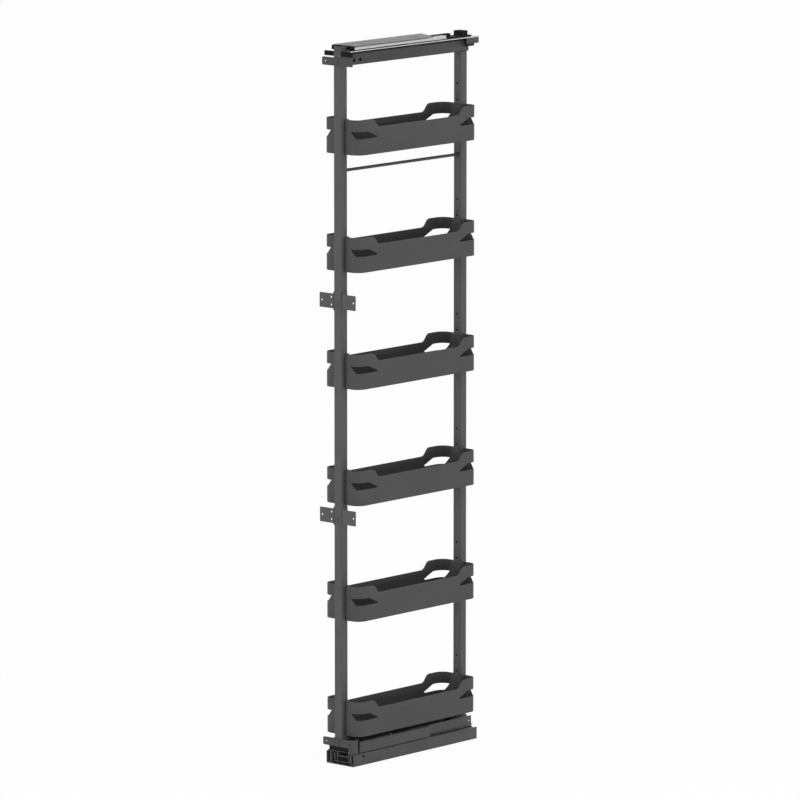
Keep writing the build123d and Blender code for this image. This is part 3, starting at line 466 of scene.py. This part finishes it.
@dataclass
class DressedPiece:
    """One carried-over piece with its edges rolled round."""

    node: str
    body: Body
    slot: Slot
    edge: float
    rings: int = 2
    corner_angle: float = 30.0
    flat_angle: float = 0.4
    weld: float = 2e-6
    roundness: float = 0.5

    def build(self, material: bpy.types.Material) -> bpy.types.Object:
        """Makes the rounded piece and puts it in place of its plain node.

        Args:
            material: The piece's finish.

        Returns:
            The new piece.
        """
        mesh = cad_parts[self.node].data.copy()
        mesh.name = f"{self.node}_dressed"
        shape = bmesh.new()
        shape.from_mesh(mesh)
        bmesh.ops.remove_doubles(shape, verts=shape.verts, dist=self.weld)
        bmesh.ops.dissolve_limit(
            shape, angle_limit=math.radians(self.flat_angle), verts=shape.verts,
            edges=shape.edges, delimit={"NORMAL"},
        )
        limit = math.radians(self.corner_angle)
        corners = [
            edge for edge in shape.edges if edge.is_manifold and edge.calc_face_angle(0.0) > limit
        ]
        if self.edge > 0.0 and corners:
            bmesh.ops.bevel(
                shape, geom=corners, offset=self.edge, offset_type="OFFSET",
                segments=self.rings, profile=self.roundness, affect="EDGES",
                clamp_overlap=True,
            )
        shape.to_mesh(mesh)
        shape.free()
        piece = bpy.data.objects.new(f"{self.node}_piece", mesh)
        bpy.context.scene.collection.objects.link(piece)
        mesh.materials.clear()
        mesh.materials.append(material)
        smooth_faces(piece)
        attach(piece, self.body.value)
        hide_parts(self.node)
        return piece


def smooth_faces(piece: bpy.types.Object, angle: float = 40.0) -> None:
    """Shades a piece smooth, except across its sharp edges.

    Args:
        piece: The piece to shade.
        angle: Angle in degrees from which an edge is sharp.
    """
    mesh = piece.data
    if "custom_normal" in mesh.attributes:
        mesh.attributes.remove(mesh.attributes["custom_normal"])
    mesh.shade_smooth()
    mesh.set_sharp_from_angle(angle=math.radians(angle))


@dataclass
class SubAssembly:
    """A group of pieces that belong together, and the finishes that they take."""

    finishes: dict[str, bpy.types.Material]
    pieces: list[bpy.types.Object] = field(default_factory=list)

    def dress(
        self, node: str, body: Body, slot: Slot, finish: str, edge: float, rings: int = 2
    ) -> bpy.types.Object:
        """Rounds and finishes one node, and keeps the piece in the list.

        Args:
            node: Node that the piece stands for.
            body: Body that it rides on.
            slot: Slot of the record that it belongs to; kept on the piece but not used.
            finish: Name of its finish.
            edge: Rounding of its edges in metres.
            rings: Number of steps across a rounding.

        Returns:
            The dressed piece.
        """
        piece = DressedPiece(node, body, slot, edge, rings).build(self.finishes[finish])
        self.pieces.append(piece)
        log.info("%s dressed in %s", node, finish)
        return piece

    def dress_balls(self, levels: dict[str, Body], cage_edge: float = 0.2 * MM) -> None:
        """Finishes the ball cages of each level and the balls in them.

        Args:
            levels: Body that the cages and balls of each level ride on.
            cage_edge: Rounding of a cage's edges in metres.
        """
        for level, body in levels.items():
            self.dress(f"{level}_ball_cages", body, Slot.BLACK_PLASTIC, "black", cage_edge)
            self.dress(f"{level}_balls", body, Slot.BALL_STEEL, "ball", 0.0)


@dataclass
class BaseSlide(SubAssembly):
    """The slide at the foot: base channel, races, members, cages and balls."""

    sheet_edge: float = 0.35 * MM
    screw_edge: float = 0.4 * MM

    def build(self) -> None:
        """Dresses every piece of the foot slide."""
        side, frame_body = Body.CABINET_SIDE, Body.PULL_OUT_FRAME
        self.dress("base_channel", side, Slot.FRAME_STEEL, "base_coat", self.sheet_edge)
        self.dress("base_rivets", side, Slot.SCREW_STEEL, "base_coat", self.screw_edge)
        self.dress("rear_stop", side, Slot.FRAME_STEEL, "base_coat", self.sheet_edge)
        self.dress("rear_buffer", side, Slot.BUFFER_RUBBER, "rubber", self.screw_edge)
        # The lower races and profiles take the darker zinc as painted shade.
        for node in ("lower_race_left", "lower_race_right"):
            self.dress(node, side, Slot.GUIDE_STEEL, "dull_shaded_zinc", self.sheet_edge)
        profiles = {"lower_middle_profile": Body.LOWER_MIDDLE, "lower_inner_profile": frame_body}
        for node, body in profiles.items():
            self.dress(node, body, Slot.FRAME_STEEL, "dull_shaded_zinc", self.sheet_edge)
        # The black plug is painted shade: it darkens the slide's front end, seen in shade under the
        # lower front bar.
        self.dress("lower_front_plug", frame_body, Slot.BLACK_PLASTIC, "black", self.screw_edge)
        self.dress_balls(
            {"lower_outer": Body.LOWER_OUTER_CAGES, "lower_inner": Body.LOWER_INNER_CAGES}
        )


@dataclass
class CarrierGroup(SubAssembly):
    """The carrier channel on the slide with its skirts, feet and screws."""

    sheet_edge: float = 0.35 * MM
    screw_edge: float = 0.4 * MM
    foot_wall: float = 2.0 * MM
    cover_wall: float = 1.5 * MM
    cover_gap: float = 0.2 * MM
    cover_left_inset: float = 5.5 * MM
    cover_right_over: float = 2.0 * MM
    pocket_count: int = 3
    pocket_frame: float = 1.4 * MM
    pocket_depth: float = 1.0 * MM

    def build(self) -> None:
        """Dresses the carrier and what is screwed to it."""
        body = Body.PULL_OUT_FRAME
        for node in ("carrier", "side_skirt_left", "side_skirt_right", "front_foot", "rear_foot"):
            self.dress(node, body, Slot.FRAME_STEEL, "base_coat", self.sheet_edge)
        self.dress("carrier_caps", body, Slot.BLACK_PLASTIC, "black", self.screw_edge)
        for node in ("skirt_screws", "foot_screws", "adjusting_bolts"):
            self.dress(node, body, Slot.SCREW_STEEL, "screw", self.screw_edge)
        self.pieces.append(self.foot_shade_cover(body))

    def foot_shade_cover(self, body: Body) -> bpy.types.Object:
        """Makes the thin pocketed cover on the front upright's foot, under the lower front bar; its
        black is painted shade, standing in for the shade under the bar.

        Args:
            body: The body that the cover rides on.

        Returns:
            The cover.
        """
        foot_low, foot_high = (Vector(corner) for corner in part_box("front_foot"))
        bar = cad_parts["lower_front_bar"].data
        bottom = foot_low.z + self.foot_wall
        top = min(vertex.co.z for vertex in bar.vertices if vertex.co.x < 0.0) - self.cover_gap
        start = foot_low.x + self.cover_left_inset
        step = (foot_high.x + self.cover_right_over - start) / self.pocket_count
        shape = bmesh.new()
        rings = []
        for index in range(self.pocket_count + 1):
            x = start + step * index
            depths = (foot_low.y - self.cover_wall, foot_low.y)
            corners = ((depths[0], bottom), (depths[1], bottom), (depths[1], top), (depths[0], top))
            rings.append([shape.verts.new((x, y, z)) for y, z in corners])
        fronts = []
        for left, right in zip(rings, rings[1:]):
            for this in range(len(left)):
                after = (this + 1) % len(left)
                face = shape.faces.new((left[this], right[this], right[after], left[after]))
            fronts.append(face)
        shape.faces.new(rings[0])
        shape.faces.new(rings[-1][::-1])
        bmesh.ops.recalc_face_normals(shape, faces=shape.faces)
        bmesh.ops.inset_individual(
            shape, faces=fronts, thickness=self.pocket_frame, depth=-self.pocket_depth
        )
        mesh = bpy.data.meshes.new("foot_shade_cover")
        shape.to_mesh(mesh)
        shape.free()
        cover = bpy.data.objects.new("foot_cover_piece", mesh)
        bpy.context.scene.collection.objects.link(cover)
        # The cover's black is painted shade under the lower front bar.
        mesh.materials.append(self.finishes["black"])
        smooth_faces(cover)
        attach(cover, body.value)
        log.info("foot_shade_cover made in black")
        return cover


@dataclass
class UprightFrame(SubAssembly):
    """The two uprights, the beam over them, the cross rod and the front fittings."""

    tube_edge: float = 0.25 * MM
    sheet_edge: float = 0.4 * MM
    screw_edge: float = 0.5 * MM

    def build(self) -> None:
        """Dresses the upright frame and the pieces that hold the door."""
        body = Body.PULL_OUT_FRAME
        # The top beam's darker coat is painted shade towards the top of the frame.
        tubes = {
            "front_upright": "frame_coat", "rear_upright": "frame_coat", "top_beam": "shaded_bar_coat",
        }
        for node, coat in tubes.items():
            self.dress(node, body, Slot.FRAME_STEEL, coat, self.tube_edge)
        for node in ("lower_front_bar", "upper_front_bar"):
            self.dress(node, body, Slot.FRAME_STEEL, "shaded_bar_coat", self.sheet_edge)
        for level in ("lower", "upper"):
            for hand in ("left", "right"):
                bracket = f"door_bracket_{level}_{hand}"
                self.dress(bracket, body, Slot.FRAME_STEEL, "frame_coat", self.sheet_edge)
        for node in ("cross_rod", "rod_nuts", "bracket_screws", "bar_screws"):
            self.dress(node, body, Slot.SCREW_STEEL, "screw", self.screw_edge)


@dataclass
class BasketStack(SubAssembly):
    """Six moulded baskets between the uprights, with the screws that hold them."""

    count: int = 6
    rim_round: float = 0.9 * MM
    rim_rings: int = 3
    screw_edge: float = 0.5 * MM

    def build(self) -> None:
        """Dresses the baskets, rims rolled round, and their screws."""
        body = Body.PULL_OUT_FRAME
        for level in range(1, self.count + 1):
            self.dress(
                f"basket_{level}", body, Slot.BASKET_PLASTIC, "basket", self.rim_round,
                self.rim_rings,
            )
        self.dress("basket_screws", body, Slot.SCREW_STEEL, "screw", self.screw_edge)


@dataclass
class TopGuide(SubAssembly):
    """The guide under the cabinet's top and what the frame carries in it."""

    sheet_edge: float = 0.3 * MM
    block_edge: float = 0.6 * MM
    post_wall: float = 1.5 * MM
    bridge_depth: float = 3.5 * MM
    touch: float = 0.1 * MM

    def build(self) -> None:
        """Dresses the fixed and the moving pieces of the guide."""
        side, body = Body.CABINET_SIDE, Body.PULL_OUT_FRAME
        self.dress("top_mounting_plate", side, Slot.GUIDE_STEEL, "cover", self.sheet_edge)
        self.dress("top_outer_profile", side, Slot.GUIDE_STEEL, "zinc", self.sheet_edge)
        self.dress("top_rear_block", side, Slot.BLACK_PLASTIC, "black", self.block_edge)
        self.dress("top_cover_spacer", side, Slot.BLACK_PLASTIC, "black", self.sheet_edge)
        profiles = {"top_middle_profile": Body.UPPER_MIDDLE, "top_inner_profile": body}
        for node, rider in profiles.items():
            self.dress(node, rider, Slot.GUIDE_STEEL, "zinc", self.sheet_edge)
        self.dress("top_spacer_strip", body, Slot.BLACK_PLASTIC, "black", self.sheet_edge)
        self.dress("strip_screws", body, Slot.SCREW_STEEL, "screw", self.sheet_edge)
        connector = self.dress(
            "front_connector", body, Slot.GREY_PLASTIC, "grey", self.block_edge
        )
        # The connector's bridge, rim and inside are painted black as shade in the hollow beside the
        # post.
        self.paint_bridge_shade(connector)
        for node in ("guide_block_left", "guide_block_right"):
            self.dress(node, body, Slot.BLACK_PLASTIC, "black", self.block_edge)
        self.dress("top_end_bracket", body, Slot.FRAME_STEEL, "cast", self.block_edge)
        self.dress("top_end_buffer", body, Slot.BUFFER_RUBBER, "rubber", self.block_edge)
        self.dress_balls(
            {"upper_outer": Body.UPPER_OUTER_CAGES, "upper_inner": Body.UPPER_INNER_CAGES}
        )

    def paint_bridge_shade(self, connector: bpy.types.Object) -> None:
        """Paints shade on the connector: its bridge, rim and inside take the black finish as
        painted shade, and its post stays grey.

        Args:
            connector: The dressed front connector.
        """
        low, high = (Vector(corner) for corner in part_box("front_upright"))
        middle, half = (low + high) / 2, (high.x - low.x) / 2
        rim = max(vertex.co.z for vertex in connector.data.vertices) - self.post_wall
        connector.data.materials.append(self.finishes["black"])
        grey, black = 0, 1
        # Faces off the post's outer walls take the black finish: painted shade in the hollow and
        # under the cover's front edge.
        for face in connector.data.polygons:
            reach = max(abs(face.center.x - middle.x), abs(face.center.y - middle.y))
            outside = half - self.post_wall / 2 < reach < half + self.touch
            before = face.center.y < high.y - self.bridge_depth
            face.material_index = grey if outside and before and face.center.z < rim else black


@dataclass(frozen=True)
class SoftBox:
    """One soft studio lamp that looks at the object."""

    name: str
    place: Point
    width: float
    height: float
    watts: float

    def build(self, aim: Vector) -> None:
        """Hangs the lamp and turns it to a point.

        Args:
            aim: The point that the lamp looks at.
        """
        lamp = bpy.data.lights.new(self.name, "AREA")
        lamp.shape = "RECTANGLE"
        lamp.size, lamp.size_y = self.width, self.height
        lamp.energy = self.watts
        holder = bpy.data.objects.new(self.name, lamp)
        holder.location = self.place
        holder.rotation_euler = (aim - Vector(self.place)).to_track_quat("-Z", "Y").to_euler()
        bpy.context.scene.collection.objects.link(holder)


@dataclass
class Studio:
    """A white floor and surround with soft lamps."""

    floor_half: float = 60.0
    white: float = 1.0
    floor_white: float = 0.95
    shadow_share: float = 0.05
    sky: float = 0.68
    aim: Point = (0.0, 0.0, 0.93)
    seen_rays: Sequence[str] = ("Is Camera Ray", "Is Glossy Ray", "Is Transmission Ray")
    lamps: Sequence[SoftBox] = (
        SoftBox("key_left", (-3.4, -6.4, 1.5), width=3.0, height=3.0, watts=48.0),
        SoftBox("fill_right", (6.6, -1.6, 1.3), width=3.0, height=3.4, watts=70.0),
        SoftBox("top", (0.4, 0.2, 5.0), width=2.2, height=2.2, watts=60.0),
    )

    def build(self) -> None:
        """Lays the floor, sets the surround and hangs the lamps."""
        self.lay_floor()
        self.set_surround()
        for lamp in self.lamps:
            lamp.build(Vector(self.aim))
            log.info("lamp %s at %.0f W", lamp.name, lamp.watts)

    def lay_floor(self) -> None:
        """Makes the floor, white to the camera apart from a light shadow."""
        reach = self.floor_half
        mesh = bpy.data.meshes.new("studio_floor")
        quarters = ((-1, -1), (1, -1), (1, 1), (-1, 1))
        corners = [(x * reach, y * reach, 0.0) for x, y in quarters]
        mesh.from_pydata(corners, [], [tuple(range(len(corners)))])
        floor = bpy.data.objects.new("studio_floor", mesh)
        bpy.context.scene.collection.objects.link(floor)
        material = bpy.data.materials.new("studio_white")
        material.use_nodes = True
        tree = material.node_tree
        tree.nodes.remove(tree.nodes["Principled BSDF"])
        paint = tree.nodes.new("ShaderNodeBsdfDiffuse")
        paint.inputs["Color"].default_value = (self.floor_white,) * 3 + (1.0,)
        glow = tree.nodes.new("ShaderNodeEmission")
        glow.inputs["Strength"].default_value = self.white
        share = tree.nodes.new("ShaderNodeMath")
        share.operation = "MULTIPLY"
        share.inputs[1].default_value = 1.0 - self.shadow_share
        tree.links.new(self.seen(tree), share.inputs[0])
        mix = tree.nodes.new("ShaderNodeMixShader")
        tree.links.new(share.outputs[0], mix.inputs[0])
        tree.links.new(paint.outputs[0], mix.inputs[1])
        tree.links.new(glow.outputs[0], mix.inputs[2])
        tree.links.new(mix.outputs[0], tree.nodes["Material Output"].inputs["Surface"])
        mesh.materials.append(material)
        floor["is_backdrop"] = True

    def seen(self, tree: bpy.types.NodeTree) -> bpy.types.NodeSocket:
        """Adds a value that is 1 for the rays that see the white of the studio.

        Args:
            tree: The node tree to add it to.

        Returns:
            The value's socket.
        """
        rays = tree.nodes.new("ShaderNodeLightPath")
        total = rays.outputs[self.seen_rays[0]]
        for name in self.seen_rays[1:]:
            pick = tree.nodes.new("ShaderNodeMath")
            pick.operation = "MAXIMUM"
            tree.links.new(total, pick.inputs[0])
            tree.links.new(rays.outputs[name], pick.inputs[1])
            total = pick.outputs[0]
        return total

    def set_surround(self) -> None:
        """Sets the sky: white where it is seen, softer as a light."""
        world = bpy.data.worlds.new("studio_surround")
        bpy.context.scene.world = world
        world.use_nodes = True
        tree = world.node_tree
        backdrop = tree.nodes["Background"]
        level = tree.nodes.new("ShaderNodeMapRange")
        level.inputs["To Min"].default_value = self.sky
        level.inputs["To Max"].default_value = self.white
        tree.links.new(self.seen(tree), level.inputs["Value"])
        tree.links.new(level.outputs["Result"], backdrop.inputs["Strength"])
        backdrop.inputs["Color"].default_value = (1.0, 1.0, 1.0, 1.0)


@dataclass(frozen=True)
class ProductCamera:
    """A long lens that looks at the frame from its front right corner."""

    azimuth: float = 41.549
    elevation: float = 9.152
    distance: float = 18.2215
    lens: float = 318.83
    sensor: float = 36.0
    farthest: float = 500.0
    aim: Point = (-0.004307, -0.003817, 0.920137)

    def build(self) -> None:
        """Sets the camera up and makes it the scene's own."""
        turn, rise = math.radians(self.azimuth), math.radians(self.elevation)
        level = math.cos(rise)
        away = Vector((math.sin(turn) * level, -math.cos(turn) * level, math.sin(rise)))
        data = bpy.data.cameras.new("product_camera")
        data.lens = self.lens
        data.sensor_width = self.sensor
        data.clip_end = self.farthest
        holder = bpy.data.objects.new("product_camera", data)
        holder.location = Vector(self.aim) + away * self.distance
        holder.rotation_euler = away.to_track_quat("Z", "Y").to_euler()
        bpy.context.scene.collection.objects.link(holder)
        bpy.context.scene.camera = holder


def write_sizes() -> None:
    """Logs the box of the packed model and of the dressed one."""
    boxes = {"cad": plain(cad_bounds), "visual": plain(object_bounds())}
    log.info("boxes %s", boxes)


def plain(value: object) -> object:
    """Turns nested vectors into plain lists.

    Args:
        value: A number, or a nest of vectors and lists of numbers.

    Returns:
        The same numbers, in plain lists.
    """
    if isinstance(value, (int, float)):
        return float(value)
    return [plain(part) for part in value]


def main() -> None:
    """Builds the studio, the camera and every sub-assembly."""
    logging.basicConfig(level=logging.INFO, format="%(message)s")
    finishes = {name: finish.material() for name, finish in vars(FinishSet()).items()}
    ProductCamera().build()
    Studio().build()
    for kind in (BaseSlide, CarrierGroup, UprightFrame, BasketStack, TopGuide):
        group = kind(finishes)
        group.build()
        log.info("%s: %d pieces", kind.__name__, len(group.pieces))
    bpy.context.scene.view_settings.view_transform = "Standard"
    write_sizes()


if __name__ == "__main__":
    main()
